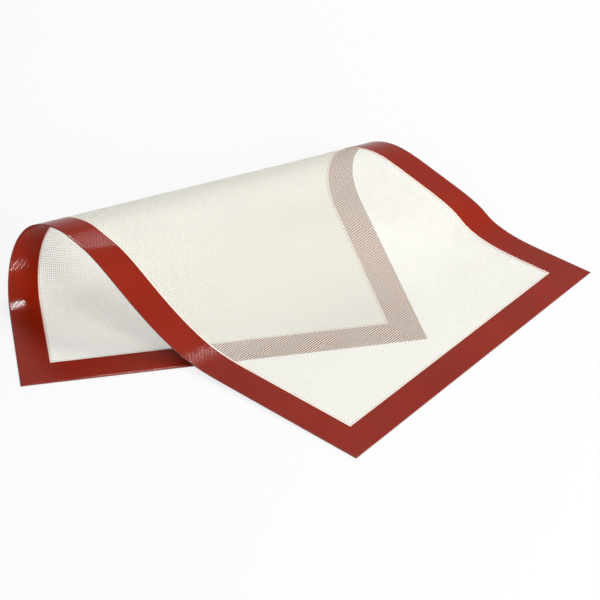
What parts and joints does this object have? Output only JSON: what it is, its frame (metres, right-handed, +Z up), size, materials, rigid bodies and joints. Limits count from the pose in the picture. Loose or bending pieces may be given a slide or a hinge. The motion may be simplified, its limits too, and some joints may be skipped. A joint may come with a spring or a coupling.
{
  "type": "silicone baking mat",
  "caption": "Reusable non-stick baking mat of silicone-coated glass fabric with a coloured border band, shown folded over itself in a loose slanted loop.",
  "frame": {"origin": "on the table, under the middle of the folded mat's bounding box", "axes": "+X along the line where the sheet leaves the table, from the fold's high side to its low side, +Y from the lower leaf's free edge towards the fold, +Z up"},
  "size_m": [0.4626, 0.3218, 0.071],
  "materials": {
    "glass_fabric": "woven glass fibre, set in silicone",
    "clear_silicone": "translucent cream silicone, satin, with the weave showing through",
    "red_silicone": "opaque brick-red silicone, glossy, with a fine woven texture",
    "edge_silicone": "dark red silicone along the cut edge"
  },
  "bodies": {
    "root": {"glass_fabric": "glass_fabric", "face_coat": "clear_silicone", "back_coat": "clear_silicone", "face_band": "red_silicone", "back_band": "red_silicone", "edge_bead": "edge_silicone"}
  },
  "joints": []
}
